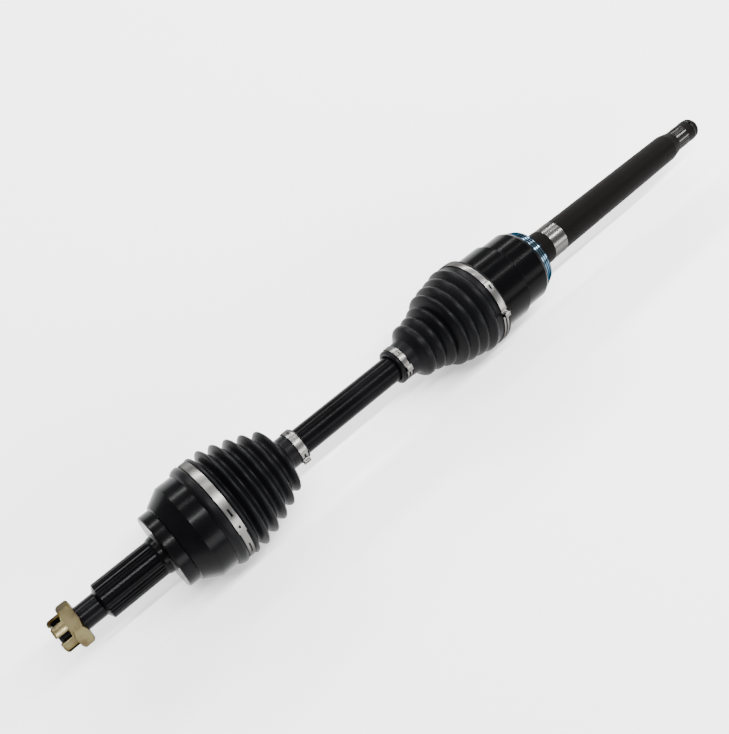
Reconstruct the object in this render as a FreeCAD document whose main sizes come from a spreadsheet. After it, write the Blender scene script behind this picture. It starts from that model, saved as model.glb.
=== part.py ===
import FreeCAD, Part
import math
import os
import re
import Sketcher

# A front-wheel-drive axle: a six-ball constant-velocity joint at the wheel end, a solid bar, and a
# tripod joint at the gearbox end whose housing carries a long shaft to the differential.
# The axle lies along X. The origin is on its axis, in the plane of the shoulder that seats on the
# wheel hub. The wheel end points to -X, the gearbox end to +X, and Z is up.

doc = FreeCAD.newDocument("cv_axle")
sheet = doc.addObject("Spreadsheet::Sheet", "Sizes")

SIZES = [
    # wheel end stub: thread, spline and shoulder
    ("stub_len", 100.0), ("thread_r", 11.0), ("thread_len", 38.0), ("stub_spline_r", 16.6),
    ("stub_spline_depth", 1.1), ("stub_spline_teeth", 32), ("space_share", 0.55), ("spline_runout", 7.0),
    ("spline_lead", 3.0), ("runout_rise", 1.2), ("root_fillet", 3.5), ("tip_chamfer", 1.5),
    # bell of the outer joint
    ("collar_r", 35.6), ("collar_len", 10.5), ("collar_chamfer", 1.0), ("cone_step", 2.0),
    ("cone_len", 14.5), ("bell_wall", 6.35), ("bell_len", 62.0), ("mouth_lead", 5.5),
    ("bell_edge", 1.2), ("bell_floor_gap", 30.0), ("bell_floor_rise", 4.0), ("land_ahead", 7.0),
    ("land_behind", 25.0),
    # axle nut
    ("nut_from_tip", 1.6), ("nut_hex_len", 10.7), ("nut_crown_len", 11.3), ("nut_flats", 36.0),
    ("nut_crown_wall", 3.9), ("nut_slots", 6), ("nut_slot_width", 6.0), ("nut_slot_depth", 10.6),
    ("nut_bore_gap", 0.06), ("nut_edge", 2.6), ("nut_turn", 38.0),
    # six-ball joint
    ("outer_centre", 44.0), ("ball_r", 8.75), ("ball_pitch_r", 31.0), ("ball_count", 6),
    ("track_gap", 1.75), ("track_sweep", 84.0), ("cage_above", 3.0), ("cage_below", 2.5),
    ("sphere_gap", 0.3), ("cage_half_len", 13.5), ("window_gap", 0.06), ("window_side_gap", 1.7),
    ("race_half_len", 11.0), ("seat_gap", 0.02),
    # bar between the joints
    ("joint_span", 358.0), ("bar_r", 13.0), ("outer_neck_r", 12.0), ("inner_neck_r", 12.5),
    ("outer_seat_r", 11.0), ("inner_seat_r", 11.5), ("bar_overhang", 5.0), ("outer_neck_len", 42.0),
    ("inner_neck_len", 57.0), ("neck_taper", 5.0), ("clip_wire", 1.6), ("clip_depth", 0.9),
    ("clip_offset", 1.2), ("end_gap", 0.1),
    # tripod joint
    ("trunnion_pitch_r", 25.0), ("trunnion_r", 9.3), ("trunnion_stick_out", 2.0), ("hub_r", 16.5),
    ("hub_half_len", 11.0), ("roller_r", 16.0), ("roller_half_len", 6.0), ("needle_r", 1.25),
    ("needle_gap", 0.04), ("needle_count", 24), ("needle_half_len", 5.4),
    ("roller_track_gap", 1.0), ("roller_clip_len", 1.0), ("roller_clip_reach", 2.1),
    ("roller_clip_gap", 0.2), ("groove_gap", 0.05), ("cut_over", 1.0), ("small_chamfer", 1.0),
    # tripod housing and gearbox shaft
    ("mouth_to_centre", 38.0), ("centre_to_floor", 36.5), ("cavity_gap", 1.2), ("bore_gap", 4.2),
    ("flare_rise", 6.3), ("flare_len", 18.0), ("housing_wall", 2.7), ("housing_step_rise", 2.7),
    ("boot_seat_rise", 1.0), ("boot_seat_len", 16.5), ("step_past_centre", 11.0),
    ("floor_wall", 6.0), ("housing_end_len", 3.0), ("housing_end_drop", 1.4), ("shoulder_r", 24.0),
    ("neck_r", 18.0), ("neck_fillet", 2.0),
    ("neck_len", 25.3), ("journal_r", 17.5), ("journal_len", 18.9), ("shaft_r", 17.1),
    ("shaft_end_r", 15.4), ("shaft_len", 192.1), ("shaft_taper_len", 12.6),
    ("end_spline_len", 17.3), ("end_spline_r", 12.2), ("end_spline_depth", 0.8),
    ("end_spline_teeth", 28), ("tip_len", 21.6), ("tip_r", 12.0), ("tip_nose", 6.0),
    ("retainer_wire", 1.6), ("retainer_reach", 4.0), ("retainer_seat", 1.2), ("retainer_depth", 1.0),
    # dust shield
    ("shield_gap", 0.3), ("shield_len", 11.2), ("shield_rim_r", 32.2), ("shield_step", 0.7),
    ("shield_taper", 0.9), ("shield_sheet", 2.0),
    # boots: each ridge is a crest of the outline, with a hollow beside it
    ("boot_wall", 3.0), ("boot_gap", 0.1), ("outer_lip_wall", 3.7), ("band_groove", 2.2),
    ("band_lip", 9.0), ("band_side_gap", 0.3),
    ("outer_band_lead", 11.2), ("outer_band_len", 7.5), ("outer_lip_len", 3.7),
    ("outer_crest_lead", 9.3),
    ("outer_crest_pitch", 12.6), ("outer_crest_drop", 2.5), ("outer_crest_bend", 0.48),
    ("outer_hollow_depth", 6.5),
    ("outer_neck_lead", 8.3), ("neck_run", 8.6), ("outer_small_band_len", 7.6), ("neck_tail", 1.5),
    ("boot_neck_wall", 1.9), ("neck_lip", 0.6), ("inner_neck_wall", 3.7), ("inner_neck_lip", 1.0),
    ("inner_neck_tail", 3.8), ("inner_small_band_len", 6.7), ("inner_crest_lead", 25.4),
    ("inner_crest_r", 27.8), ("inner_ridge_lead", 6.0),
    ("inner_crest_pitch", 11.0), ("inner_hollow_depth", 2.6), ("inner_boot_wall", 3.9),
    ("inner_band_lead", 5.0), ("inner_band_len", 6.1), ("inner_lip_len", 2.9),
    # boot clamps
    ("band_thick", 0.8), ("lap_sweep", 66.0), ("ear_height", 4.2), ("ear_width", 8.0),
    ("ear_wall", 0.9), ("small_ear_height", 3.4), ("small_ear_width", 6.0),
]

# Places and radii that follow from the sizes above.
DERIVED = {
    "stub_tip": "0-stub_len",
    "thread_end": "thread_len-stub_len",
    "stub_spline_end": "0-spline_runout",
    "cone_end": "collar_len+collar_chamfer+cone_len",
    "bell_r": "ball_pitch_r+ball_r+bell_wall",
    "mouth_r": "ball_pitch_r+mouth_lead",
    "cage_outer_r": "ball_pitch_r+cage_above",
    "cage_inner_r": "ball_pitch_r-cage_below",
    "nut_hex_start": "nut_crown_len-stub_len-nut_from_tip",
    "nut_crown_r": "thread_r+nut_crown_wall",
    "race_start": "outer_centre-race_half_len",
    "race_end": "outer_centre+race_half_len",
    "inner_centre": "outer_centre+joint_span",
    "trunnion_top": "trunnion_pitch_r+roller_half_len+trunnion_stick_out",
    "roller_bore": "trunnion_r+2*needle_r+2*needle_gap",
    "roller_face_r": "sqrt(roller_r*roller_r-roller_half_len*roller_half_len)",
    "roller_top": "trunnion_pitch_r+roller_half_len",
    "cavity_r": "sqrt(roller_top*roller_top+roller_face_r*roller_face_r)+cavity_gap",
    "cavity_bore_r": "sqrt(trunnion_pitch_r*trunnion_pitch_r+roller_r*roller_r)-bore_gap",
    "housing_small_r": "cavity_r+housing_wall",
    "housing_big_r": "housing_small_r+housing_step_rise",
    "boot_seat_r": "housing_big_r+boot_seat_rise",
    "housing_mouth": "inner_centre-mouth_to_centre",
    "boot_seat_end": "housing_mouth+boot_seat_len",
    "housing_step": "inner_centre+step_past_centre",
    "cavity_end": "inner_centre+centre_to_floor",
    "housing_end": "cavity_end+floor_wall",
    "shield_start": "housing_end+shield_gap",
    "shield_end": "shield_start+shield_len",
    "journal_start": "shield_end+neck_len",
    "journal_end": "journal_start+journal_len",
    "shaft_end": "journal_end+shaft_len",
    "end_spline_start": "shaft_end+shaft_taper_len",
    "end_spline_end": "end_spline_start+end_spline_len",
    "shaft_tip": "end_spline_end+tip_len",
    "outer_lip_r": "bell_r+boot_gap+outer_lip_wall",
    "outer_band_seat_r": "outer_lip_r-band_groove",
    "outer_band_start": "bell_len-outer_band_lead",
    "outer_band_end": "outer_band_start+outer_band_len",
    "outer_boot_start": "outer_band_start-band_lip",
    "outer_boot_crest": "bell_len+outer_crest_lead",
    "outer_neck_start": "outer_boot_crest+4*outer_crest_pitch+outer_neck_lead",
    "outer_small_band_start": "outer_neck_start+neck_run",
    "outer_small_band_end": "outer_small_band_start+outer_small_band_len",
    "outer_boot_end": "outer_small_band_end+neck_tail",
    "outer_neck_seat_r": "bar_r+boot_gap+boot_neck_wall",
    "inner_neck_seat_r": "bar_r+boot_gap+inner_neck_wall",
    "inner_lip_r": "inner_neck_seat_r+inner_neck_lip",
    "inner_boot_crest": "housing_mouth-inner_ridge_lead-6*inner_crest_pitch",
    "inner_small_band_start": "inner_boot_crest-inner_crest_lead",
    "inner_small_band_end": "inner_small_band_start+inner_small_band_len",
    "inner_boot_start": "inner_small_band_start-inner_neck_tail",
    "inner_band_seat_r": "boot_seat_r+boot_gap+inner_boot_wall",
    "inner_band_start": "housing_mouth+inner_band_lead",
    "inner_band_end": "inner_band_start+inner_band_len",
    "inner_boot_end": "inner_band_end+inner_lip_len",
}

for row, (name, value) in enumerate(SIZES, start=1):
    sheet.set("A%d" % row, name)
    sheet.set("B%d" % row, "%s" % value)
    sheet.setAlias("B%d" % row, name)
doc.recompute()

ALIASES = {name for name, value in SIZES}
PLANE_ROLE = {"XY": "XY_Plane", "XZ": "XZ_Plane", "YZ": "YZ_Plane"}
NODES = []


def cells(text):
    """An expression written with the names above, as the document's own expression."""
    def swap(word):
        name = word.group()
        if name in DERIVED:
            return "(" + cells(DERIVED[name]) + ")"
        return "Sizes." + name if name in ALIASES else name
    return re.sub(r"[a-z_]+", swap, text)


def number(text):
    return float(sheet.evalExpression(cells(text)))


def origin_part(body, role):
    return [part for part in body.Origin.OriginFeatures if part.Role == role][0]


def new_body(label):
    body = doc.addObject("PartDesign::Body", label)
    body.Label = label
    NODES.append(body)
    return body


def new_sketch(body, name, plane, shift_axis=None, shift="0"):
    """A sketch on one of the body's origin planes, moved along X, Y or Z of the sketch."""
    sketch = body.newObject("Sketcher::SketchObject", name)
    sketch.AttachmentSupport = [(origin_part(body, PLANE_ROLE[plane]), "")]
    sketch.MapMode = "FlatFace"
    if shift_axis:
        sketch.setExpression("AttachmentOffset.Base." + shift_axis, cells(shift))
    return sketch


def pin_down(sketch, geometry, position, across, up):
    """Dimension one point of a sketch from the sketch's origin."""
    for text, kind, axis in ((across, "DistanceX", -2), (up, "DistanceY", -1)):
        if text is None:
            continue
        value = number(text)
        if abs(value) < 1e-9:
            sketch.addConstraint(Sketcher.Constraint("PointOnObject", geometry, position, axis))
        else:
            index = sketch.addConstraint(
                Sketcher.Constraint(kind, -1, 1, geometry, position, value))
            sketch.setExpression("Constraints[%d]" % index, cells(text))


def draw_outline(sketch, points, arcs=None):
    """A closed outline. A point is (across, up). arcs gives the centre and radius of the arc that
    leaves a point for the next one; its ends have no height of their own (None)."""
    arcs = arcs or {}
    count = len(points)
    spots = []
    for index, (across, up) in enumerate(points):
        if up is None:
            centre, radius = arcs[index] if index in arcs else arcs[index - 1]
            height = math.sqrt(number(radius) ** 2 - (number(across) - number(centre)) ** 2)
        else:
            height = number(up)
        spots.append(FreeCAD.Vector(number(across), height, 0))
    ends = []
    for index, start in enumerate(spots):
        finish = spots[(index + 1) % count]
        if index in arcs:
            middle = FreeCAD.Vector(number(arcs[index][0]), 0, 0)
            circle = Part.Circle(middle, FreeCAD.Vector(0, 0, 1), number(arcs[index][1]))
            angles = [math.atan2(spot.y, spot.x - middle.x) for spot in (start, finish)]
            sketch.addGeometry(Part.ArcOfCircle(circle, min(angles), max(angles)), False)
            ends.append((1, 2) if angles[0] < angles[1] else (2, 1))
            pin_down(sketch, index, 3, arcs[index][0], "0")
            size = sketch.addConstraint(
                Sketcher.Constraint("Radius", index, number(arcs[index][1])))
            sketch.setExpression("Constraints[%d]" % size, cells(arcs[index][1]))
        else:
            sketch.addGeometry(Part.LineSegment(start, finish), False)
            ends.append((1, 2))
    for index in range(count):
        after = (index + 1) % count
        sketch.addConstraint(
            Sketcher.Constraint("Coincident", index, ends[index][1], after, ends[after][0]))
        pin_down(sketch, index, ends[index][0], *points[index])


def draw_circle(sketch, across, up, radius):
    middle = FreeCAD.Vector(number(across), number(up), 0)
    sketch.addGeometry(Part.Circle(middle, FreeCAD.Vector(0, 0, 1), number(radius)), False)
    pin_down(sketch, 0, 3, across, up)
    size = sketch.addConstraint(Sketcher.Constraint("Radius", 0, number(radius)))
    sketch.setExpression("Constraints[%d]" % size, cells(radius))


def revolve(body, name, sketch, axis="H_Axis", angle="360", kind="PartDesign::Revolution",
            centred=False):
    """Turn a sketch about one of its own axes, adding or cutting; a cut must remove metal."""
    before = body.Shape.Volume if body.Tip and not body.Shape.isNull() else 0.0
    feature = body.newObject(kind, name)
    feature.Profile = sketch
    feature.ReferenceAxis = (sketch, [axis])
    feature.Angle = number(angle)
    feature.Midplane = centred
    if angle != "360":
        feature.setExpression("Angle", cells(angle))
    doc.recompute()
    if kind.endswith("Groove") and abs(body.Shape.Volume - before) < 1e-3:
        raise RuntimeError("%s of %s cut nothing" % (name, body.Label))
    return feature


def extrude(body, name, sketch, length, kind="PartDesign::Pocket", both=False, flip=False):
    """Push a sketch straight out along its normal, adding or cutting."""
    before = body.Shape.Volume if body.Tip and not body.Shape.isNull() else 0.0
    feature = body.newObject(kind, name)
    feature.Profile = sketch
    feature.setExpression("Length", cells(length))
    feature.Midplane = both
    feature.Reversed = flip
    doc.recompute()
    if abs(body.Shape.Volume - before) < 1e-3:
        raise RuntimeError("%s of %s changed nothing" % (name, body.Label))
    return feature


def repeat(body, name, feature, count):
    """Repeat a feature evenly round the body's X axis."""
    pattern = body.newObject("PartDesign::PolarPattern", name)
    pattern.Originals = [feature]
    pattern.Axis = (origin_part(body, "X_Axis"), [""])
    pattern.Angle = 360
    pattern.setExpression("Occurrences", cells(count))
    body.Tip = pattern
    doc.recompute()
    return pattern


def turned(label, points, arcs=None):
    """A sub-part turned about X from its half outline (x, radius)."""
    body = new_body(label)
    sketch = new_sketch(body, label + "_outline", "XY")
    draw_outline(sketch, points, arcs)
    revolve(body, label + "_turned", sketch)
    return body


def spin(body, degrees):
    """Set a body turned about the axle's own axis."""
    body.Placement = FreeCAD.Placement(
        FreeCAD.Vector(), FreeCAD.Rotation(FreeCAD.Vector(1, 0, 0), degrees))


def cut_teeth(body, name, start, end, radius, depth, teeth):
    """Cut the spaces of a spline: one V-shaped space from start to end, then the rest."""
    sketch = new_sketch(body, name + "_space", "YZ", "z", start)
    half = "(space_share*pi*%s/%s)" % (radius, teeth)
    draw_outline(sketch, [
        ("0-" + half, "%s+0.3" % radius), ("0-0.35*" + half, "%s-%s" % (radius, depth)),
        ("0.35*" + half, "%s-%s" % (radius, depth)), (half, "%s+0.3" % radius)])
    space = extrude(body, name + "_cut", sketch, "%s-(%s)" % (end, start), flip=True)
    repeat(body, name, space, teeth)


# ---------------------------------------------------------------- wheel end stub and bell
# One forging: threaded shank, spline, hub shoulder, cone and the bell that holds the ball tracks.
bell = turned("outer_race_bell", [
    ("stub_tip", "0"), ("stub_tip", "thread_r-tip_chamfer"), ("stub_tip+tip_chamfer", "thread_r"),
    ("thread_end", "thread_r"), ("thread_end+spline_lead", "stub_spline_r"),
    ("stub_spline_end", "stub_spline_r"),
    ("stub_spline_end+2*runout_rise", "stub_spline_r+runout_rise"),
    ("0-runout_rise", "stub_spline_r+root_fillet/2"), ("0", "stub_spline_r+root_fillet"),
    ("0", "collar_r-collar_chamfer"), ("collar_chamfer", "collar_r"),
    ("collar_len", "collar_r"), ("collar_len+collar_chamfer", "collar_r+cone_step"), ("cone_end", "bell_r"),
    ("bell_len-bell_edge", "bell_r"), ("bell_len", "bell_r-bell_edge"),
    ("bell_len", "mouth_r"), ("outer_centre+land_ahead", None), ("outer_centre-land_behind", None),
    ("outer_centre-bell_floor_gap", "outer_seat_r+bell_floor_rise"), ("outer_centre-bell_floor_gap", "0")],
    {17: ("outer_centre", "cage_outer_r+sphere_gap")})
cut_teeth(bell, "stub_spline", "thread_end-0.5", "stub_spline_end", "stub_spline_r",
          "stub_spline_depth", "stub_spline_teeth")


def cut_tracks(body):
    """Six ball tracks: each the path of one ball about the joint's centre."""
    sketch = new_sketch(body, "track_section", "YZ", "z", "outer_centre")
    draw_circle(sketch, "ball_pitch_r", "0", "ball_r+track_gap")
    track = revolve(body, "track", sketch, "V_Axis", "track_sweep", "PartDesign::Groove", True)
    repeat(body, "tracks", track, "ball_count")


cut_tracks(bell)

# ---------------------------------------------------------------- inner race, cage and balls
inner_race = turned("inner_race", [
    ("race_start", "outer_seat_r+seat_gap"), ("race_start", None), ("race_end", None),
    ("race_end", "outer_seat_r+seat_gap")],
    {1: ("outer_centre", "cage_inner_r-sphere_gap")})
cut_tracks(inner_race)

cage = turned("ball_cage", [
    ("outer_centre-cage_half_len", None), ("outer_centre+cage_half_len", None),
    ("outer_centre+cage_half_len", None), ("outer_centre-cage_half_len", None)],
    {0: ("outer_centre", "cage_inner_r"), 2: ("outer_centre", "cage_outer_r")})
window = new_sketch(cage, "window_outline", "XZ")
draw_outline(window, [
    ("outer_centre-ball_r-window_gap", "0-ball_r-window_side_gap"),
    ("outer_centre+ball_r+window_gap", "0-ball_r-window_side_gap"),
    ("outer_centre+ball_r+window_gap", "ball_r+window_side_gap"),
    ("outer_centre-ball_r-window_gap", "ball_r+window_side_gap")])
window_cut = extrude(cage, "window", window, "cage_outer_r+5", flip=False)
repeat(cage, "windows", window_cut, "ball_count")

for ball_number in range(int(number("ball_count"))):
    ball = doc.addObject("Part::Sphere", "ball_%d" % (ball_number + 1))
    ball.Label = "ball_%d" % (ball_number + 1)
    turn = "%d*360/ball_count" % ball_number
    ball.setExpression("Radius", cells("ball_r"))
    ball.setExpression("Placement.Base.x", cells("outer_centre"))
    ball.setExpression("Placement.Base.y", cells("ball_pitch_r*cos(%s)" % turn))
    ball.setExpression("Placement.Base.z", cells("ball_pitch_r*sin(%s)" % turn))
    NODES.append(ball)

# ---------------------------------------------------------------- bar
# Solid bar, necked and splined at both ends, with a round-wire groove past each seat.
bar_start = "race_start-bar_overhang"
bar_end = "inner_centre+hub_half_len+bar_overhang"
outer_clip = "race_start-clip_offset"
inner_clip = "inner_centre+hub_half_len+clip_offset"
turned("axle_bar", [
    (bar_start, "0"), (bar_start, "outer_seat_r-small_chamfer"),
    (bar_start + "+small_chamfer", "outer_seat_r"),
    (outer_clip + "-clip_wire/2", "outer_seat_r"),
    (outer_clip + "-clip_wire/2", "outer_seat_r-clip_depth"),
    (outer_clip + "+clip_wire/2", "outer_seat_r-clip_depth"),
    (outer_clip + "+clip_wire/2", "outer_seat_r"), ("race_end+end_gap", "outer_seat_r"),
    ("race_end+end_gap", "outer_neck_r"), ("outer_centre+outer_neck_len", "outer_neck_r"),
    ("outer_centre+outer_neck_len+neck_taper", "bar_r"),
    ("inner_centre-inner_neck_len-neck_taper", "bar_r"),
    ("inner_centre-inner_neck_len", "inner_neck_r"),
    ("inner_centre-hub_half_len-end_gap", "inner_neck_r"),
    ("inner_centre-hub_half_len-end_gap", "inner_seat_r"), (inner_clip + "-clip_wire/2", "inner_seat_r"),
    (inner_clip + "-clip_wire/2", "inner_seat_r-clip_depth"),
    (inner_clip + "+clip_wire/2", "inner_seat_r-clip_depth"),
    (inner_clip + "+clip_wire/2", "inner_seat_r"), (bar_end + "-small_chamfer", "inner_seat_r"),
    (bar_end, "inner_seat_r-small_chamfer"), (bar_end, "0")])


def snap_ring(label, middle, seat_r, reach):
    """A wire ring in a groove, with a gap cut in it at the top."""
    ring = turned(label, [
        (middle + "-clip_wire/2+groove_gap", seat_r + "-clip_depth+groove_gap"),
        (middle + "-clip_wire/2+groove_gap", seat_r + reach),
        (middle + "+clip_wire/2-groove_gap", seat_r + reach),
        (middle + "+clip_wire/2-groove_gap", seat_r + "-clip_depth+groove_gap")])
    gap = new_sketch(ring, label + "_gap_outline", "YZ", "z", middle)
    draw_outline(gap, [("0-clip_wire", seat_r + "/2"), ("clip_wire", seat_r + "/2"),
                       ("clip_wire", seat_r + "*1.5"), ("0-clip_wire", seat_r + "*1.5")])
    extrude(ring, label + "_gap", gap, "clip_wire*2", both=True)
    return ring


snap_ring("inner_race_circlip", outer_clip, "outer_seat_r", "+0.8")
snap_ring("spider_circlip", inner_clip, "inner_seat_r", "+1.2")

# ---------------------------------------------------------------- tripod: spider, rollers, needles
spider = turned("tripod_spider", [
    ("inner_centre-hub_half_len", "inner_seat_r+seat_gap"),
    ("inner_centre-hub_half_len", "hub_r-small_chamfer"),
    ("inner_centre-hub_half_len+small_chamfer", "hub_r"),
    ("inner_centre+hub_half_len-small_chamfer", "hub_r"),
    ("inner_centre+hub_half_len", "hub_r-small_chamfer"),
    ("inner_centre+hub_half_len", "inner_seat_r+seat_gap")])
trunnion_outline = new_sketch(spider, "trunnion_outline", "XY", "x", "inner_centre")
clip_start = "roller_top+roller_clip_gap"
clip_stop = clip_start + "+roller_clip_len+2*groove_gap"
draw_outline(trunnion_outline, [
    ("0", "(inner_seat_r+hub_r)/2"), ("trunnion_r", "(inner_seat_r+hub_r)/2"),
    ("trunnion_r", clip_start),
    ("trunnion_r-clip_depth", clip_start), ("trunnion_r-clip_depth", clip_stop),
    ("trunnion_r", clip_stop), ("trunnion_r", "trunnion_top-small_chamfer/2"),
    ("trunnion_r-small_chamfer/2", "trunnion_top"), ("0", "trunnion_top")])
trunnion = revolve(spider, "trunnion", trunnion_outline, "V_Axis")
repeat(spider, "trunnions", trunnion, "3")

for roller_number in range(3):
    suffix = "_%d" % (roller_number + 1)
    roller = new_body("roller" + suffix)
    outline = new_sketch(roller, "roller_outline" + suffix, "XY", "x", "inner_centre")
    # the crowned tread is part of a sphere about the roller's own centre on the trunnion
    low = FreeCAD.Vector(number("roller_face_r"), number("trunnion_pitch_r-roller_half_len"), 0)
    high = FreeCAD.Vector(number("roller_face_r"), number("trunnion_pitch_r+roller_half_len"), 0)
    bore = number("roller_bore")
    lift = math.asin(number("roller_half_len/roller_r"))
    middle = FreeCAD.Vector(0, number("trunnion_pitch_r"), 0)
    tread = Part.Circle(middle, FreeCAD.Vector(0, 0, 1), number("roller_r"))
    outline.addGeometry([
        Part.LineSegment(FreeCAD.Vector(bore, low.y, 0), low),
        Part.ArcOfCircle(tread, -lift, lift),
        Part.LineSegment(high, FreeCAD.Vector(bore, high.y, 0)),
        Part.LineSegment(FreeCAD.Vector(bore, high.y, 0), FreeCAD.Vector(bore, low.y, 0))], False)
    for first in range(4):
        outline.addConstraint(Sketcher.Constraint("Coincident", first, 2, (first + 1) % 4, 1))
    pin_down(outline, 1, 3, "0", "trunnion_pitch_r")
    tread_size = outline.addConstraint(Sketcher.Constraint("Radius", 1, number("roller_r")))
    outline.setExpression("Constraints[%d]" % tread_size, cells("roller_r"))
    pin_down(outline, 0, 1, "roller_bore", "trunnion_pitch_r-roller_half_len")
    pin_down(outline, 0, 2, None, "trunnion_pitch_r-roller_half_len")
    pin_down(outline, 2, 1, None, "trunnion_pitch_r+roller_half_len")
    pin_down(outline, 3, 1, "roller_bore", "trunnion_pitch_r+roller_half_len")
    revolve(roller, "roller_turned" + suffix, outline, "V_Axis")
    spin(roller, 120 * roller_number)

    clip = new_body("roller_clip" + suffix)
    clip_outline = new_sketch(clip, "clip_outline" + suffix, "XY", "x", "inner_centre")
    draw_outline(clip_outline, [
        ("trunnion_r-clip_depth+groove_gap", clip_start + "+groove_gap"),
        ("trunnion_r+roller_clip_reach", clip_start + "+groove_gap"),
        ("trunnion_r+roller_clip_reach", clip_stop + "-groove_gap"),
        ("trunnion_r-clip_depth+groove_gap", clip_stop + "-groove_gap")])
    revolve(clip, "clip_turned" + suffix, clip_outline, "V_Axis")
    spin(clip, 120 * roller_number)

    # a full set of loose needles between the trunnion and the roller
    ring_r = number("trunnion_r+needle_r+needle_gap")
    needles = []
    for needle_number in range(int(number("needle_count"))):
        angle = 2 * math.pi * needle_number / number("needle_count")
        foot = FreeCAD.Vector(number("inner_centre") + ring_r * math.cos(angle),
                              number("trunnion_pitch_r-needle_half_len"), ring_r * math.sin(angle))
        needles.append(Part.makeCylinder(number("needle_r"), number("2*needle_half_len"), foot,
                                         FreeCAD.Vector(0, 1, 0)))
    needle_set = doc.addObject("Part::Feature", "needles" + suffix)
    needle_set.Label = "needles" + suffix
    needle_set.Shape = Part.makeCompound(needles)
    spin(needle_set, 120 * roller_number)
    NODES.append(needle_set)

# ---------------------------------------------------------------- tripod housing and gearbox shaft
# One forging: the housing with its three roller tracks, the bearing journal and the long shaft.
housing = turned("tripod_housing_shaft", [
    ("housing_mouth", "0"), ("housing_mouth", "boot_seat_r-small_chamfer"),
    ("housing_mouth+small_chamfer", "boot_seat_r"), ("boot_seat_end", "boot_seat_r"),
    ("boot_seat_end+small_chamfer", "housing_big_r"), ("housing_step", "housing_big_r"),
    ("housing_step+housing_step_rise", "housing_small_r"),
    ("housing_end-housing_end_len", "housing_small_r"),
    ("housing_end", "housing_small_r-housing_end_drop"),
    ("housing_end", "shoulder_r"),
    ("shield_end", "shoulder_r"), ("shield_end+small_chamfer", "neck_r+neck_fillet"),
    ("shield_end+2*neck_fillet", "neck_r"), ("journal_start-small_chamfer", "neck_r"),
    ("journal_start", "journal_r"), ("journal_end", "journal_r"),
    ("journal_end+small_chamfer", "shaft_r"), ("shaft_end", "shaft_end_r"),
    ("end_spline_start-neck_fillet", "end_spline_r+small_chamfer"),
    ("end_spline_start", "end_spline_r"),
    ("end_spline_end", "end_spline_r"), ("end_spline_end", "tip_r"),
    ("shaft_tip-tip_nose-3*retainer_wire", "tip_r"),
    ("shaft_tip-tip_nose-3*retainer_wire", "tip_r-clip_depth"),
    ("shaft_tip-tip_nose-2*retainer_wire", "tip_r-clip_depth"),
    ("shaft_tip-tip_nose-2*retainer_wire", "tip_r"), ("shaft_tip-tip_nose", "tip_r"),
    ("shaft_tip-tip_nose*0.6", "tip_r*0.96"), ("shaft_tip-tip_nose*0.25", "tip_r*0.83"),
    ("shaft_tip", "tip_r*0.6"), ("shaft_tip", "0")])
cut_teeth(housing, "end_spline", "end_spline_start-0.5", "end_spline_end+0.3", "end_spline_r",
          "end_spline_depth", "end_spline_teeth")
bore = new_sketch(housing, "cavity_bore_outline", "XY")
draw_outline(bore, [
    ("housing_mouth-cut_over", "0"),
    ("housing_mouth-cut_over", "cavity_bore_r+flare_rise*(flare_len+cut_over)/flare_len"),
    ("housing_mouth+flare_len", "cavity_bore_r"), ("cavity_end", "cavity_bore_r"),
    ("cavity_end", "0")])
revolve(housing, "cavity_bore", bore, kind="PartDesign::Groove")
retainer_x = "housing_mouth+retainer_seat"
retainer_groove = new_sketch(housing, "retainer_groove_outline", "XY")
draw_outline(retainer_groove, [
    (retainer_x + "-end_gap", "cavity_bore_r-cut_over"),
    (retainer_x + "-end_gap", "cavity_r+retainer_depth+end_gap"),
    (retainer_x + "+retainer_wire+end_gap", "cavity_r+retainer_depth+end_gap"),
    (retainer_x + "+retainer_wire+end_gap", "cavity_bore_r-cut_over")])
revolve(housing, "retainer_groove", retainer_groove, kind="PartDesign::Groove")
track_half = "(roller_r+roller_track_gap)"
roller_track = new_sketch(housing, "roller_track_outline", "YZ", "z",
                          "housing_mouth-cut_over")
track_top = "sqrt(cavity_r*cavity_r-%s*%s)" % (track_half, track_half)
side = number(track_half)
height = number(track_top)
roof = Part.Circle(FreeCAD.Vector(), FreeCAD.Vector(0, 0, 1), number("cavity_r"))
roof_half = math.asin(side / number("cavity_r"))
corners = [FreeCAD.Vector(0, side, 0), FreeCAD.Vector(0, -side, 0),
           FreeCAD.Vector(height, -side, 0), FreeCAD.Vector(height, side, 0)]
roller_track.addGeometry([
    Part.LineSegment(corners[0], corners[1]), Part.LineSegment(corners[1], corners[2]),
    Part.ArcOfCircle(roof, -roof_half, roof_half), Part.LineSegment(corners[3], corners[0])], False)
for first in range(4):
    roller_track.addConstraint(Sketcher.Constraint("Coincident", first, 2, (first + 1) % 4, 1))
pin_down(roller_track, 2, 3, "0", "0")
roof_size = roller_track.addConstraint(Sketcher.Constraint("Radius", 2, number("cavity_r")))
roller_track.setExpression("Constraints[%d]" % roof_size, cells("cavity_r"))
pin_down(roller_track, 0, 1, "0", track_half)
pin_down(roller_track, 0, 2, "0", "0-" + track_half)
pin_down(roller_track, 2, 1, None, "0-" + track_half)
pin_down(roller_track, 2, 2, None, track_half)
track_cut = extrude(housing, "roller_track", roller_track,
                    "cavity_end-housing_mouth+cut_over", flip=True)
repeat(housing, "roller_tracks", track_cut, "3")

# wire ring in the mouth that keeps the rollers in
turned("roller_retainer_ring", [
    (retainer_x, "cavity_r-retainer_reach"), (retainer_x, "cavity_r+retainer_depth"),
    (retainer_x + "+retainer_wire", "cavity_r+retainer_depth"),
    (retainer_x + "+retainer_wire", "cavity_r-retainer_reach")])

tip_clip = "shaft_tip-tip_nose-2.5*retainer_wire"
snap_ring("gearbox_circlip", tip_clip, "tip_r", "+0.3")

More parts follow.
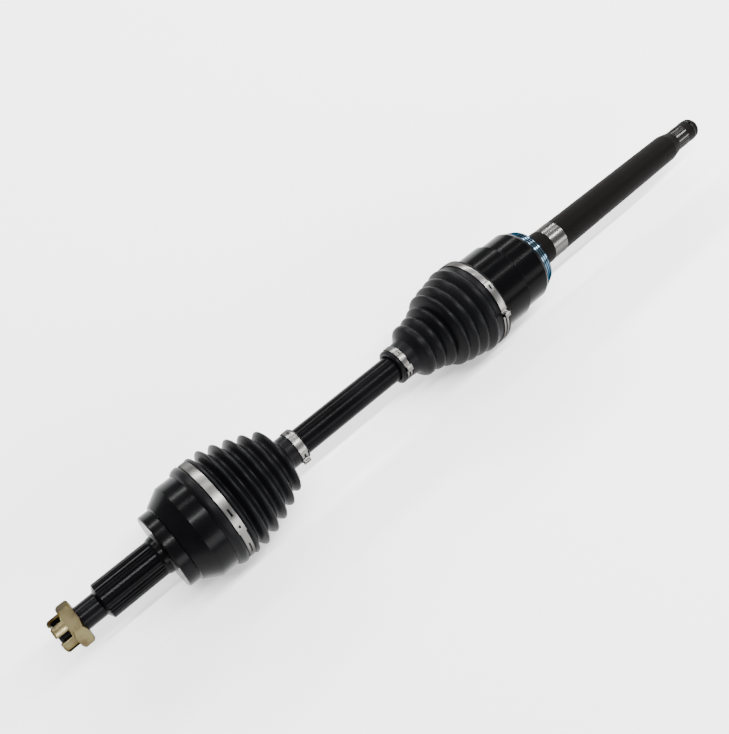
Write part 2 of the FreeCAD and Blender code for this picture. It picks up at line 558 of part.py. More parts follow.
# ---------------------------------------------------------------- dust shield
# A pressed cap on the housing's shoulder: three stepped lands outside, hollow at the back.
lands = []
for land in range(3):
    start = "shield_start+%d*shield_len/3" % land
    low = "shield_rim_r+%d*(shield_step+shield_taper)" % (2 - land)
    lands += [(start, low + "+shield_taper"), (start + "+shield_len/3-0.2", low)]
turned("dust_shield", [("shield_start", "shoulder_r+seat_gap")] + lands + [
    ("shield_end", "shield_rim_r-0.3"), ("shield_end", "shield_rim_r-shield_sheet"),
    ("shield_start+shield_sheet", "shield_rim_r-shield_sheet"),
    ("shield_start+shield_sheet", "shoulder_r+shield_sheet"),
    ("shield_end", "shoulder_r+shield_sheet"), ("shield_end", "shoulder_r+seat_gap")])

# ---------------------------------------------------------------- boots
# Each boot is a thin moulded bellows: crests and hollows outside, the same less a wall inside.
outer_skin = [("outer_boot_start", "outer_lip_r-2"), ("outer_boot_start+3", "outer_lip_r"),
              ("outer_band_start-band_side_gap", "outer_lip_r"),
              ("outer_band_start-band_side_gap", "outer_band_seat_r"),
              ("outer_band_end+band_side_gap", "outer_band_seat_r"),
              ("outer_band_end+band_side_gap", "outer_lip_r"),
              ("outer_band_end+outer_lip_len", "outer_lip_r")]
outer_lining = [("outer_boot_start", "bell_r+boot_gap"), ("bell_len+0.5", "bell_r+boot_gap")]
last_r = "outer_lip_r"
for crest in range(5):
    crest_x = "outer_boot_crest+%d*outer_crest_pitch" % crest
    crest_r = "(outer_lip_r-%d*outer_crest_drop-%d*outer_crest_bend)" % (crest, crest * crest)
    hollow_r = "(%s+%s)/2-outer_hollow_depth" % (last_r, crest_r)
    outer_skin += [(crest_x + "-outer_crest_pitch/2", hollow_r), (crest_x + "-1.5", crest_r),
                   (crest_x + "+1.5", crest_r)]
    outer_lining += [(crest_x + "-outer_crest_pitch/2+1", hollow_r + "-boot_wall"),
                     (crest_x, crest_r + "-boot_wall")]
    last_r = crest_r
outer_skin += [("outer_neck_start-2", "outer_neck_seat_r+3"),
               ("outer_neck_start", "outer_neck_seat_r+neck_lip"),
               ("outer_small_band_start-band_side_gap", "outer_neck_seat_r+neck_lip"),
               ("outer_small_band_start-band_side_gap", "outer_neck_seat_r"),
               ("outer_small_band_end+band_side_gap", "outer_neck_seat_r"),
               ("outer_small_band_end+band_side_gap", "outer_neck_seat_r+neck_lip"),
               ("outer_boot_end", "outer_neck_seat_r+neck_lip")]
outer_lining += [("outer_neck_start-3", "bar_r+boot_gap+2"), ("outer_neck_start+2", "bar_r+boot_gap"),
                 ("outer_boot_end", "bar_r+boot_gap")]
turned("outer_boot", outer_skin + outer_lining[::-1])

inner_skin = [("inner_boot_start", "inner_lip_r-0.5"), ("inner_boot_start+0.5", "inner_lip_r"),
              ("inner_small_band_start-band_side_gap", "inner_lip_r"),
              ("inner_small_band_start-band_side_gap", "inner_neck_seat_r"),
              ("inner_small_band_end+band_side_gap", "inner_neck_seat_r"),
              ("inner_small_band_end+band_side_gap", "inner_lip_r"),
              ("inner_small_band_end+7", "inner_lip_r+0.8"),
              ("(inner_small_band_end+7+inner_boot_crest)/2", "(inner_lip_r+inner_crest_r)/2+0.8")]
inner_lining = [("inner_boot_start", "bar_r+boot_gap"), ("inner_small_band_end", "bar_r+boot_gap"),
                ("inner_small_band_end+9", "bar_r+boot_gap+2")]
# the boot widens quickly over its first ridges and slowly after them: each ridge's share of the rise
for ridge, share in enumerate([0, 0.1, 0.31, 0.67, 0.82, 0.93, 1.07]):
    ridge_x = "inner_boot_crest+%d*inner_crest_pitch" % ridge
    ridge_r = "inner_crest_r+%s*(inner_band_seat_r-inner_crest_r)" % share
    inner_skin += [(ridge_x + "-1.5", ridge_r), (ridge_x + "+1.5", ridge_r)]
    if share < 1:
        hollow = (ridge_x + "+inner_crest_pitch/2", ridge_r + "-inner_hollow_depth")
        inner_skin.append(hollow)
        inner_lining.append((hollow[0], hollow[1] + "-boot_wall"))
inner_skin += [("inner_band_start-4", "inner_band_seat_r-1.2"),
               ("inner_band_start-band_side_gap", "inner_band_seat_r"),
               ("inner_band_end+band_side_gap", "inner_band_seat_r"),
               ("inner_band_end+band_side_gap", "inner_band_seat_r+0.7"),
               ("inner_boot_end", "inner_band_seat_r+0.7")]
inner_lining += [("housing_mouth-2", "boot_seat_r+boot_gap"),
                 ("inner_boot_end", "boot_seat_r+boot_gap")]
turned("inner_boot", inner_skin + inner_lining[::-1])


# ---------------------------------------------------------------- boot clamps
def clamp(label, start, length, seat_r, ear_height, ear_width, facing):
    """A steel band with a lapped end and a crimped ear standing on it."""
    inside = seat_r + "+boot_gap"
    outside = inside + "+band_thick"
    band = turned(label, [(start, inside), (start, outside), (start + "+" + length, outside),
                          (start + "+" + length, inside)])
    lap = new_sketch(band, label + "_lap_outline", "XY")
    draw_outline(lap, [(start + "+0.3", inside + "+band_thick/2"),
                       (start + "+0.3", outside + "+band_thick"),
                       (start + "+" + length + "-0.3", outside + "+band_thick"),
                       (start + "+" + length + "-0.3", inside + "+band_thick/2")])
    revolve(band, label + "_lap", lap, angle="lap_sweep")
    ear = new_sketch(band, label + "_ear_outline", "YZ", "z", start + "+(" + length + ")/2")
    foot = outside + "-band_thick/2"
    top = outside + "+" + ear_height
    half = ear_width + "/2"
    draw_outline(ear, [
        (foot, "0-" + half), (top + "-1", "0-" + half), (top, "1-" + half), (top, half + "-1"),
        (top + "-1", half), (foot, half), (foot, half + "-ear_wall"),
        (top + "-ear_wall", half + "-ear_wall"), (top + "-ear_wall", "ear_wall-" + half),
        (foot, "ear_wall-" + half)])
    extrude(band, label + "_ear", ear, length + "-1.2", "PartDesign::Pad", both=True)
    spin(band, facing)


clamp("outer_large_clamp", "outer_band_start", "outer_band_len", "outer_band_seat_r",
      "ear_height", "ear_width", 176)
clamp("outer_small_clamp", "outer_small_band_start", "outer_small_band_len",
      "outer_neck_seat_r", "small_ear_height", "small_ear_width", 190)
clamp("inner_small_clamp", "inner_small_band_start", "inner_small_band_len",
      "inner_neck_seat_r", "small_ear_height", "small_ear_width", 145)
clamp("inner_large_clamp", "inner_band_start", "inner_band_len", "inner_band_seat_r",
      "ear_height", "ear_width", 149)

# ---------------------------------------------------------------- axle nut
# Castle nut: a hexagon with both edges turned to a cone, and a slotted crown.
nut = new_body("axle_nut")
hexagon = new_sketch(nut, "nut_hexagon", "YZ", "z", "nut_hex_start")
hex_points = []
for corner in range(6):
    turn = 60 * corner + 30
    hex_points.append(("nut_flats/2/cos(30)*cos(%d)" % turn, "nut_flats/2/cos(30)*sin(%d)" % turn))
draw_outline(hexagon, hex_points)
extrude(nut, "nut_hex", hexagon, "nut_hex_len", "PartDesign::Pad")
nut_end = "nut_hex_start+nut_hex_len"
trim = new_sketch(nut, "nut_trim_outline", "XY")
draw_outline(trim, [
    ("nut_hex_start-1", "nut_flats/2-nut_edge/2"), ("nut_hex_start+nut_edge", "nut_flats/2+4"),
    (nut_end + "-nut_edge", "nut_flats/2+4"), (nut_end + "+1", "nut_flats/2-nut_edge/2"),
    (nut_end + "+1", "nut_flats"), ("nut_hex_start-1", "nut_flats")])
revolve(nut, "nut_trim", trim, kind="PartDesign::Groove")
crown = new_sketch(nut, "nut_crown_outline", "XY")
draw_outline(crown, [
    ("nut_hex_start-nut_crown_len", "0"), ("nut_hex_start-nut_crown_len", "nut_crown_r-tip_chamfer"),
    ("nut_hex_start-nut_crown_len+tip_chamfer", "nut_crown_r"), ("nut_hex_start+1", "nut_crown_r"),
    ("nut_hex_start+1", "0")])
revolve(nut, "nut_crown", crown)
nut_bore = new_sketch(nut, "nut_bore_outline", "XY")
draw_outline(nut_bore, [
    ("nut_hex_start-nut_crown_len-1", "0"), ("nut_hex_start-nut_crown_len-1", "thread_r+1.5"),
    ("nut_hex_start-nut_crown_len+0.5", "thread_r+nut_bore_gap"),
    (nut_end + "-1", "thread_r+nut_bore_gap"), (nut_end + "+1", "thread_r+2"), (nut_end + "+1", "0")])
revolve(nut, "nut_bore", nut_bore, kind="PartDesign::Groove")
slot = new_sketch(nut, "nut_slot_outline", "XY")
draw_outline(slot, [
    ("nut_hex_start-nut_crown_len-1", "0-nut_slot_width/2"),
    ("nut_hex_start-nut_crown_len+nut_slot_depth", "0-nut_slot_width/2"),
    ("nut_hex_start-nut_crown_len+nut_slot_depth", "nut_slot_width/2"),
    ("nut_hex_start-nut_crown_len-1", "nut_slot_width/2")])
slot_cut = extrude(nut, "nut_slot", slot, "nut_crown_r+2", flip=True)
repeat(nut, "nut_slots_all", slot_cut, "nut_slots")
spin(nut, number("nut_turn"))

# ---------------------------------------------------------------- check and write
doc.recompute()
for item in doc.Objects:
    if "Invalid" in item.State or "Error" in item.State:
        raise RuntimeError("%s failed: %s" % (item.Label, item.State))
os.makedirs("parts", exist_ok=True)
for node in NODES:
    shape = node.Shape
    if shape.isNull() or not shape.isValid() or not shape.Solids:
        raise RuntimeError("%s has no good solid" % node.Label)
    shape.exportStep(os.path.join("parts", node.Label + ".step"))
    print("%-24s solids %2d  volume %10.1f  x %8.1f to %7.1f" % (
        node.Label, len(shape.Solids), shape.Volume, shape.BoundBox.XMin, shape.BoundBox.XMax))
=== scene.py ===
import math

import bpy
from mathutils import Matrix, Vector


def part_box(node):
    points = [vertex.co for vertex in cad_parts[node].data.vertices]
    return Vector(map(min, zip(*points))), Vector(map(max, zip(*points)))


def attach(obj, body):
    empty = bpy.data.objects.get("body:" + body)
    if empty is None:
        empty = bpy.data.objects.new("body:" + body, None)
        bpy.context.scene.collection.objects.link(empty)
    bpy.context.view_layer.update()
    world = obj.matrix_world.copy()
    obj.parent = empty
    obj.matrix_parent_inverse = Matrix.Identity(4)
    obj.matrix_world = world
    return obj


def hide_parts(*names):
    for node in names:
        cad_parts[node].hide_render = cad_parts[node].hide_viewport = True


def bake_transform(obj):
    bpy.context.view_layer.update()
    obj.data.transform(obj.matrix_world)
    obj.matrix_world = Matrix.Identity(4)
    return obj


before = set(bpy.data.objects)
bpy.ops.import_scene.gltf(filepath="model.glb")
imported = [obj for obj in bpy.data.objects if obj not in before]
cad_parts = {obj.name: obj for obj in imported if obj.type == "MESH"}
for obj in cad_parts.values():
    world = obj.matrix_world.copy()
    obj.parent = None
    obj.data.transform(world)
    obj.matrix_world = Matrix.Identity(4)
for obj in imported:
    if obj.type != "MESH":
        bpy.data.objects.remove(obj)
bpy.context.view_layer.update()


# ------------------------------------------------------------------ set and camera
# A plain pale table under four long strip lamps, with the axle seen from above its wheel end. The
# axle lies along X with its axis at height zero, and the table touches its widest piece.

table_height = min(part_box(name)[0][2]
                   for name in ("outer_large_clamp", "inner_large_clamp", "outer_boot"))
table_side = 14
bpy.ops.object.select_all(action="DESELECT")
bpy.ops.mesh.primitive_plane_add(size=table_side, location=(0.3, 0, table_height))
table = bpy.context.active_object
table.name = "table"


class Socket:
    """One output of a node tree, so that sums of sockets can be written as plain expressions."""

    def __init__(self, tree, link):
        self.tree = tree
        self.link = link

    def node(self, kind, inputs=(), output=0, **settings):
        made = self.tree.nodes.new(kind)
        stops = settings.pop("stops", ())
        for name, value in settings.items():
            setattr(made, name, value)
        if stops:
            scale = made.color_ramp
            while len(scale.elements) < len(stops):
                scale.elements.new(0.5)
            for element, (place, colour) in zip(scale.elements, stops):
                element.position = place
                element.color = (*colour, 1)
        for key, value in dict(inputs).items():
            if isinstance(value, Socket):
                self.tree.links.new(value.link, made.inputs[key])
            else:
                made.inputs[key].default_value = value
        return Socket(self.tree, made.outputs[output])

    def maths(self, operation, *values):
        return self.node("ShaderNodeMath", dict(enumerate(values)), operation=operation)

    def __add__(self, other):
        return self.maths("ADD", self, other)

    def __radd__(self, other):
        return self.maths("ADD", other, self)

    def __sub__(self, other):
        return self.maths("SUBTRACT", self, other)

    def __rsub__(self, other):
        return self.maths("SUBTRACT", other, self)

    def __mul__(self, other):
        return self.maths("MULTIPLY", self, other)

    def __rmul__(self, other):
        return self.maths("MULTIPLY", other, self)

    def above(self, edge):
        return self.maths("GREATER_THAN", self, edge)

    def between(self, start, end):
        return self.above(start) * self.maths("LESS_THAN", self, end)

    def fade(self, start, end):
        """0 at start, 1 at end, smooth between them."""
        return self.node("ShaderNodeMapRange", {0: self, 1: start, 2: end},
                         interpolation_type="SMOOTHSTEP")

    def mix(self, first, second):
        """first where this is 0 and second where it is 1, for colours."""
        return self.node("ShaderNodeMix", {0: self, 6: first, 7: second}, output=2,
                         data_type="RGBA")

    def ramp(self, *stops):
        """A colour that follows this through stops of (value, colour)."""
        return self.node("ShaderNodeValToRGB", {0: self}, stops=stops)

    def noise(self, scale, detail=3.0, rough=0.5, stretch=None):
        place = self
        if stretch:
            place = self.node("ShaderNodeMapping", {0: self, 3: stretch})
        return self.node("ShaderNodeTexNoise", {"Vector": place, "Scale": scale, "Detail": detail,
                                                "Roughness": rough})

    def part(self, axis):
        return self.node("ShaderNodeSeparateXYZ", {0: self}, output="XYZ".index(axis))


def new_material(name):
    material = bpy.data.materials.new(name)
    material.use_nodes = True
    tree = material.node_tree
    shader = tree.nodes["Principled BSDF"]
    texture_place = tree.nodes.new("ShaderNodeTexCoord")
    return material, shader, Socket(tree, texture_place.outputs["Object"])


def plug(shader, height=None, strength=0.3, depth=0.0002, **inputs):
    """Set a shader's sockets, and its relief from a height."""
    for name, value in inputs.items():
        socket = shader.inputs[name.replace("_", " ")]
        if isinstance(value, Socket):
            value.tree.links.new(value.link, socket)
        else:
            socket.default_value = value
    if height is not None:
        relief = height.node("ShaderNodeBump", {"Height": height, "Strength": strength,
                                                "Distance": depth})
        relief.tree.links.new(relief.link, shader.inputs["Normal"])


material, shader, place = new_material("table_paper")
plug(shader, Base_Color=(0.95, 0.95, 0.95, 1), Roughness=0.95, Specular_IOR_Level=0.0)
table.data.materials.append(material)

world = bpy.data.worlds.new("studio")
bpy.context.scene.world = world
world.use_nodes = True
sky = world.node_tree.nodes["Background"]
sky.inputs["Color"].default_value = (1, 1, 1, 1)
sky.inputs["Strength"].default_value = 0.65

camera_target = Vector((0.242, 0.0153, 0.0072))
to_camera = Vector((-0.374, -0.396, 0.839)).normalized()
camera_distance = 0.79
camera_data = bpy.data.cameras.new("camera")
camera_data.lens = 41.7
camera_data.sensor_width = 36
camera = bpy.data.objects.new("camera", camera_data)
bpy.context.collection.objects.link(camera)
camera.location = camera_target + to_camera * camera_distance
camera.rotation_euler = (camera_target - camera.location).to_track_quat("-Z", "Y").to_euler()
bpy.context.scene.camera = camera

lamp_length = 5.0
lamp_distance = 1.6
lamp_middle = 1.7


def lamp(name, angle, width, power):
    """A lamp as a strip along the axle, at an angle round it from +Y."""
    data = bpy.data.lights.new(name, "AREA")
    data.shape = "RECTANGLE"
    data.size = lamp_length
    data.size_y = width
    data.energy = power
    light = bpy.data.objects.new(name, data)
    bpy.context.collection.objects.link(light)
    turn = math.radians(angle)
    light.location = (lamp_middle, lamp_distance * math.cos(turn), lamp_distance * math.sin(turn))
    light.rotation_euler = (turn - math.pi / 2, 0, 0)


lamp("top_strip", angle=99, width=0.07, power=140)
lamp("back_strip", angle=63, width=0.07, power=36)
lamp("far_strip", angle=34, width=0.12, power=100)
lamp("front_panel", angle=160, width=0.50, power=88)


# ------------------------------------------------------------------ outer race and bar
# The splined stub, the shoulder, the cone and the bell are one steel forging, turned where it has
# to fit. It and the bar, which joins the two joints, are sprayed with black paint against rust.

def paint(name, colour, rough, shine):
    """Black paint on forged steel: nearly smooth, with dust and orange peel."""
    material, shader, place = new_material(name)
    grain = place.noise(900, 4)
    cloud = place.noise(38, 3)
    shade = cloud.ramp((0.3, tuple(0.6 * c for c in colour)),
                       (0.75, tuple(1.5 * c for c in colour)))
    plug(shader, height=grain, strength=0.12, depth=0.0001, Base_Color=shade,
         Roughness=rough + (cloud - 0.5) * 0.12, Specular_IOR_Level=shine)
    return material


def dress(node, material):
    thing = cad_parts[node]
    thing.data.materials.clear()
    thing.data.materials.append(material)


paint_black = (0.0016, 0.0016, 0.0019)
dress("outer_race_bell", paint("gloss_black_paint", paint_black, rough=0.22, shine=0.045))
dress("axle_bar", paint("bar_paint", paint_black, rough=0.24, shine=0.025))


# ------------------------------------------------------------------ tripod housing and long shaft
# One forging too: the housing is painted gloss black, and the long shaft past the dust shield has
# a duller coat. The journal for the support bearing is ground and the end spline is left bare.

journal = (0.4813, 0.5002)
end_spline = (0.7049, 0.7222)
shaft_coat_start = 0.4565
shaft_middle = 0.6
material, shader, place = new_material("housing_and_shaft")
along = place.part("X")
bare = along.between(*journal) + along.between(*end_spline)
past_shield = along.above(shaft_coat_start)
rings = place.noise(1, 4, 0.7, stretch=(2200, 10, 10))
grain = place.noise(700, 4)
cloud = place.noise(40, 3)
paint_tone = past_shield.mix((0.0014, 0.0014, 0.0016, 1), (0.0024, 0.0019, 0.0018, 1))
bare_tone = along.above(shaft_middle).mix((0.085, 0.083, 0.082, 1), (0.045, 0.044, 0.043, 1))
plug(shader, height=grain * (1 - bare) + rings * bare * 0.04, strength=0.12, depth=0.0001,
     Base_Color=bare.mix(paint_tone, bare_tone), Metallic=bare,
     Roughness=bare * 0.24 + (1 - bare) * (0.2 + past_shield * 0.35 + (cloud - 0.5) * 0.1),
     Specular_IOR_Level=0.03, Specular_Tint=(0.4, 0.4, 0.4, 1))
dress("tripod_housing_shaft", material)


# ------------------------------------------------------------------ dust shield
# A ring pressed from sheet steel and pushed onto the housing, with three stepped lands, in blue
# zinc. A painted highlight runs along each land as a lighter band of the zinc colour.

shield_lands = (0.4464, 0.4502, 0.4540)
highlight_edge, highlight_core = 0.0010, 0.0002
material, shader, place = new_material("blue_zinc")
along = place.part("X")
# Painted highlights: a light blue band along each land, standing in for the lamps' glint on its
# edges.
land_highlights = sum((along.fade(land - highlight_edge, land - highlight_core)
            * along.fade(land + highlight_edge, land + highlight_core) for land in shield_lands), 0.0)
stain = place.noise(60, 3)
plug(shader, height=place.noise(900, 3), strength=0.08, depth=0.00005, Metallic=1.0,
     Specular_Tint=(0.15, 0.19, 0.22, 1),
     Base_Color=land_highlights.mix((0.010, 0.023, 0.036, 1), (0.12, 0.17, 0.21, 1)),
     Roughness=0.14 + (stain - 0.5) * 0.08)
dress("dust_shield", material)


# ------------------------------------------------------------------ axle nut
# A castle nut, turned and milled from bar, plated with yellow zinc and screwed on the stub to hold
# the wheel hub.

def steel(name, colour, rough, ring_scale=2600, dull=None):
    """Bare or plated steel with fine lathe rings round X, stained towards a duller colour."""
    material, shader, place = new_material(name)
    rings = place.noise(1, 4, 0.7, stretch=(ring_scale, 12, 12))
    stain = place.noise(60, 3)
    tone = stain.ramp((0.35, dull or tuple(0.8 * c for c in colour)), (0.62, colour))
    plug(shader, height=rings, strength=0.25, depth=0.00005, Base_Color=tone, Metallic=1.0,
         Specular_Tint=(0.3, 0.3, 0.3, 1), Roughness=rough + (rings - 0.5) * 0.15)
    return material


dress("axle_nut", steel("yellow_zinc", (0.115, 0.098, 0.050), 0.30, ring_scale=400,
                        dull=(0.050, 0.036, 0.020)))


# ------------------------------------------------------------------ inside the two joints
# Balls, races, cage, spider, rollers and needles are ground bearing steel; the snap rings and the
# stop ring are phosphated spring steel.

ground_steel = steel("ground_steel", (0.50, 0.50, 0.52), 0.2)
spring_black = paint("spring_black", (0.003, 0.003, 0.0032), rough=0.4, shine=0.1)
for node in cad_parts:
    if "clip" in node or node == "roller_retainer_ring":
        dress(node, spring_black)
    elif node.startswith(("ball_", "roller_", "needles_", "inner_race", "tripod_spider")):
        dress(node, ground_steel)


# ------------------------------------------------------------------ outer boot
# A bellows with five crests, blow-moulded in tough black elastomer. Its lip seats on the bell and
# its neck on the bar, each under a clamp. It is cut into folds.

boot_rubber, shader, place = new_material("boot_rubber")
grain = place.noise(1500, 3)
cloud = place.noise(30, 4)
plug(shader, height=grain, strength=0.2, depth=0.0001,
     Base_Color=cloud.ramp((0.3, (0.0011, 0.0011, 0.0014)), (0.75, (0.0024, 0.0024, 0.0029))),
     Roughness=0.38 + (cloud - 0.5) * 0.16, Specular_IOR_Level=0.055)
facets = 128
boot_wall = 0.0015


def thicken(thing, wall):
    """Give a skin its wall, inwards."""
    shell = thing.modifiers.new("wall", "SOLIDIFY")
    shell.thickness = wall
    shell.offset = -1
    bpy.ops.object.modifier_apply(modifier="wall")


def lathe(name, outline, wall=0.0):
    """A skin of revolution about X: a ring drawn out and resized along its outline (x, radius)."""
    bpy.ops.object.select_all(action="DESELECT")
    start_x, start_r = outline[0]
    bpy.ops.mesh.primitive_circle_add(vertices=facets, radius=start_r, location=(start_x, 0, 0),
                                      rotation=(0, math.pi / 2, 0))
    thing = bpy.context.active_object
    thing.name = name
    bpy.ops.object.transform_apply(location=True, rotation=True, scale=True)
    bpy.ops.object.mode_set(mode="EDIT")
    bpy.ops.mesh.select_mode(type="VERT")
    bpy.ops.mesh.select_all(action="SELECT")
    for (old_x, old_r), (new_x, new_r) in zip(outline, outline[1:]):
        bpy.ops.mesh.extrude_region_move(
            TRANSFORM_OT_translate={"value": (new_x - old_x, 0, 0), "orient_type": "GLOBAL"})
        growth = new_r / old_r
        bpy.ops.transform.resize(value=(1, growth, growth), center_override=(new_x, 0, 0))
    bpy.ops.mesh.select_all(action="SELECT")
    bpy.ops.mesh.normals_make_consistent(inside=False)
    bpy.ops.object.mode_set(mode="OBJECT")
    face = thing.data.polygons[0]
    if face.normal.dot(Vector((0, face.center.y, face.center.z))) < 0:
        thing.data.flip_normals()
    if wall:
        thicken(thing, wall)
    bpy.ops.object.shade_smooth_by_angle(angle=math.radians(50))
    return thing


def wave(points, steps=10, sharp=0.0):
    """Join crests and hollows (x, radius): half waves, or sharp hollows between round crests."""
    curve = [points[0]]
    for (x0, r0), (x1, r1) in zip(points, points[1:]):
        for step in range(1, steps + 1):
            share = step / steps
            even = 0.5 - 0.5 * math.cos(math.pi * share)
            quarter = math.pi / 2 * share
            domed = math.sin(quarter) if r1 > r0 else 1 - math.cos(quarter)
            curve.append((x0 + (x1 - x0) * share,
                          r0 + (r1 - r0) * (even + (domed - even) * sharp)))
    return curve


def split(outline, places):
    """Cut an outline at the points nearest the given places."""
    cuts = [0]
    for place_x in places:
        cuts.append(min(range(len(outline)), key=lambda i: abs(outline[i][0] - place_x)))
    cuts.append(len(outline) - 1)
    return [outline[a:b + 1] for a, b in zip(cuts, cuts[1:])]


def fit_boot(node, outline, places, chain, end):
    """Cut a boot into folds at the places and lathe each fold in rubber; none is fixed to a body
    of the chain.
    """
    runs = split(outline, places)
    for number, run in enumerate(runs):
        fold = lathe("%s_fold_%d" % (node, number + 1), run, boot_wall)
        fold.data.materials.append(boot_rubber)
        last_x = run[-1][0] if number < len(runs) - 1 else end
        chain[number + 1]
        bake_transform(fold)
        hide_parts(node)


def ends(node):
    """Where a piece starts and ends along X."""
    return [corner[0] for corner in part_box(node)]


bell_mouth = ends("outer_race_bell")[1]
outer_band = ends("outer_large_clamp")
outer_neck_band = ends("outer_small_clamp")
outer_start, outer_end = ends("outer_boot")
lip_r = 0.0499
outer_seat_r = 0.0477
outer_neck_r = 0.0155
outer_neck_seat_r = 0.0149
hollow_depth = 0.0066
crest_pitch = 0.0126
crest_count = 5
crest_fall = 0.0025
crest_curve = 0.00048
first_crest = bell_mouth + 0.0093
outer_lip = [(outer_start, 0.0465), (outer_start + 0.0008, 0.0479),
             (outer_start + 0.0028, 0.0491), (outer_start + 0.0055, lip_r),
             (outer_band[0] - 0.0018, lip_r), (outer_band[0] - 0.0008, 0.0494),
             (outer_band[0] - 0.0003, outer_seat_r), (outer_band[1] + 0.0003, outer_seat_r),
             (outer_band[1] + 0.0008, 0.0493), (outer_band[1] + 0.0016, lip_r)]
crests = [(outer_band[1] + 0.0030, 0.0497)]
last_r = lip_r
for number in range(crest_count):
    crest_x = first_crest + number * crest_pitch
    crest_r = lip_r - number * crest_fall - number * number * crest_curve
    crests += [(crest_x - crest_pitch / 2, (last_r + crest_r) / 2 - hollow_depth),
               (crest_x, crest_r)]
    last_r = crest_r
crests.append((bell_mouth + 0.0680, outer_neck_r + 0.0002))
outer_neck = [(bell_mouth + 0.0692, outer_neck_r), (outer_neck_band[0] - 0.0006, outer_neck_r),
              (outer_neck_band[0] - 0.0003, outer_neck_seat_r),
              (outer_neck_band[1] + 0.0003, outer_neck_seat_r),
              (outer_neck_band[1] + 0.0006, outer_neck_r), (outer_end - 0.0004, outer_neck_r),
              (outer_end, outer_neck_r - 0.0005)]
fit_boot("outer_boot", outer_lip + wave(crests) + outer_neck,
         [first_crest + share * crest_pitch for share in (0.1, 1.1, 2.4)],
         ["outer_race", "ball_4", "cage", "ball_1", "bar"],
         end=outer_neck_band[0] - 0.004)


# ------------------------------------------------------------------ inner boot
# The same elastomer, with seven ridges that widen from the bar to the housing's mouth and sharp
# hollows between them. It is cut into folds.

housing_mouth = ends("tripod_housing_shaft")[0]
inner_neck_band = ends("inner_small_clamp")
inner_band = ends("inner_large_clamp")
inner_start, inner_end = ends("inner_boot")
inner_seat_r = 0.0460
inner_neck_r = 0.0178
inner_neck_seat_r = 0.0168
ridge_pitch = 0.011
ridge_start_r = 0.0278
ridge_growth = 0.0182
ridge_hollow = 0.0026
first_ridge = housing_mouth - 0.072
inner_neck = [(inner_start, 0.0140), (inner_start + 0.0003, 0.0172),
              (inner_start + 0.0010, inner_neck_r), (inner_neck_band[0] - 0.0008, inner_neck_r),
              (inner_neck_band[0] - 0.0003, inner_neck_seat_r),
              (inner_neck_band[1] + 0.0003, inner_neck_seat_r),
              (inner_neck_band[1] + 0.0008, 0.0177), (inner_neck_band[1] + 0.0030, 0.0179),
              (inner_neck_band[1] + 0.0060, 0.0183)]
shoulder = [(inner_neck_band[1] + 0.0075, 0.0187), (first_ridge - 0.0010, 0.0276)]
ridges = shoulder[1:]
for number, share in enumerate((0, 0.1, 0.31, 0.67, 0.82, 0.93, 1.07)):
    ridge_x = first_ridge + number * ridge_pitch
    ridge_r = ridge_start_r + share * ridge_growth
    ridges += [(ridge_x + 0.001, ridge_r),
               (ridge_x + ridge_pitch * 0.52, ridge_r - ridge_hollow)]
ridges[-1] = (inner_band[0] - 0.005, inner_seat_r - 0.0012)
inner_lip = [(inner_band[0] - 0.0006, inner_seat_r - 0.0001),
             (inner_band[1] + 0.0003, inner_seat_r),
             (inner_band[1] + 0.0006, inner_seat_r + 0.0006),
             (inner_end - 0.0004, inner_seat_r + 0.0006), (inner_end, inner_seat_r)]
fit_boot("inner_boot",
         inner_neck + wave(shoulder, 8) + wave(ridges, 8, sharp=0.8)[1:] + inner_lip,
         [first_ridge + share * ridge_pitch for share in (3.55, 5.1)],
         ["bar", "roller_1", "inner_boot", "tripod_housing"],
         end=inner_band[0] - 0.001)


# ------------------------------------------------------------------ clamps
# Each clamp is a strip of bright stainless steel wound into a ring: slots are punched through it,
# one end laps over the other, and on all but the outer large clamp a pressed ear draws it tight.

band_steel = steel("band_steel", (0.14, 0.137, 0.132), 0.30, ring_scale=700)
band_wall = 0.0007
band_edge = 0.00013
border_share = 0.36
slot_half_share = 0.1


def choose(thing, wanted):
    """Go into edit mode with only the faces chosen for which wanted(middle, normal) is true."""
    if bpy.context.mode == "EDIT_MESH":
        bpy.ops.object.mode_set(mode="OBJECT")
    bpy.ops.object.select_all(action="DESELECT")
    thing.select_set(True)
    bpy.context.view_layer.objects.active = thing
    bpy.ops.object.mode_set(mode="EDIT")
    bpy.ops.mesh.select_mode(type="FACE")
    bpy.ops.mesh.select_all(action="DESELECT")
    bpy.ops.object.mode_set(mode="OBJECT")
    for polygon in thing.data.polygons:
        polygon.select = wanted(polygon.center, polygon.normal)
    bpy.ops.object.mode_set(mode="EDIT")


def within(point, spans):
    """Whether a point's turn round X, in degrees from the top towards +Y, is in a span."""
    turn = math.degrees(math.atan2(point.y, point.z))
    return any((turn - low) % 360 < high - low for low, high in spans)


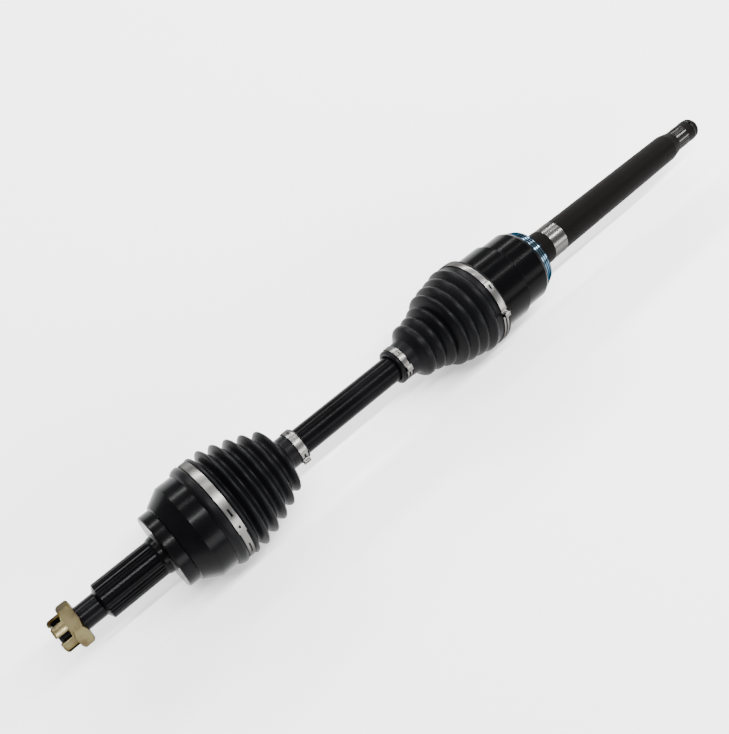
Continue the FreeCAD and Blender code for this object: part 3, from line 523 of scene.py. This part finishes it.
def strip(name, place, radius, spans, slots, ear=None):
    """A strip wound round X over the given spans, with slots along its middle, made with its ear
    on top. The ear (half its angle, its height) is pinched: it is drawn out narrow, then wide, and
    left open at its sides."""
    start, end = place
    width = end - start
    border = width * border_share
    band = lathe(name, [(start, radius), (start + border, radius),
                        (end - border, radius), (end, radius)])
    choose(band, lambda middle, normal: not within(middle, spans) or (
        abs(middle.x - (start + end) / 2) < width * slot_half_share
        and within(middle, slots)))
    bpy.ops.mesh.delete(type="FACE")
    if ear:
        half_angle, height = ear
        choose(band, lambda middle, normal: within(middle, [(-half_angle, half_angle)]))
        drawn = 0.0
        for share, squeeze in ((0.4, 0.70), (0.25, 1.35), (0.35, 0.92)):
            drawn += share * height
            bpy.ops.mesh.extrude_region_move(TRANSFORM_OT_translate={
                "value": (0, 0, share * height), "orient_type": "GLOBAL"})
            bpy.ops.transform.resize(value=(1, squeeze, 1),
                                     center_override=(0, 0, radius + drawn))
        choose(band, lambda middle, normal: abs(normal.x) > 0.9)
        bpy.ops.mesh.delete(type="FACE")
    bpy.ops.object.mode_set(mode="OBJECT")
    thicken(band, band_wall)
    soft = band.modifiers.new("soft", "BEVEL")
    soft.width = band_edge
    soft.segments = 2
    soft.angle_limit = math.radians(40)
    bpy.ops.object.modifier_apply(modifier="soft")
    bpy.ops.object.shade_smooth_by_angle(angle=math.radians(30))
    return band


def fit_clamp(node, body, ear_turn, layers):
    """Turn a clamp's strips round X to where its ear sits, and fix them to a body."""
    for band in layers:
        band.rotation_euler = (math.radians(ear_turn), 0, 0)
        bpy.ops.object.select_all(action="DESELECT")
        band.select_set(True)
        bpy.context.view_layer.objects.active = band
        bpy.ops.object.transform_apply(rotation=True)
        band.data.materials.append(band_steel)
        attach(band, body)
        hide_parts(node)


def widened(place, extra):
    """The ends of a place along X, each moved outwards."""
    return [place[0] - extra, place[1] + extra]


whole = [(0, 360)]
fit_clamp("outer_large_clamp", "outer_race", ear_turn=86, layers=[
    strip("outer_large_band", widened(outer_band, -0.0009), radius=0.0486, spans=whole,
          slots=[(-8, 12), (47, 59), (32, 38)]),
    strip("outer_large_lap", outer_band, radius=0.0496, spans=[(27, 140)],
          slots=[(49, 57), (33, 37)])])
fit_clamp("outer_small_clamp", "bar", ear_turn=100, layers=[
    strip("outer_small_band", widened(outer_neck_band, -0.0005), radius=0.0158, spans=whole,
          slots=[(14, 34)], ear=(11, 0.0030)),
    strip("outer_small_lap", outer_neck_band, radius=0.0165, spans=[(38, 175)],
          slots=[(115, 135)])])
fit_clamp("inner_small_clamp", "bar", ear_turn=55, layers=[
    strip("inner_small_band", widened(inner_neck_band, -0.0005), radius=0.0177, spans=whole,
          slots=[(-55, -12)], ear=(10, 0.0030)),
    strip("inner_small_lap", inner_neck_band, radius=0.0184, spans=[(27, 120)],
          slots=[(48, 62)])])
fit_clamp("inner_large_clamp", "tripod_housing", ear_turn=59, layers=[
    strip("inner_large_band", inner_band, radius=0.0469, spans=whole,
          slots=[(-50, -7), (32, 41)], ear=(3.5, 0.0045)),
    strip("inner_large_lap", widened(inner_band, 0.0004), radius=0.0478, spans=[(5, 45)],
          slots=[(33, 40)])])
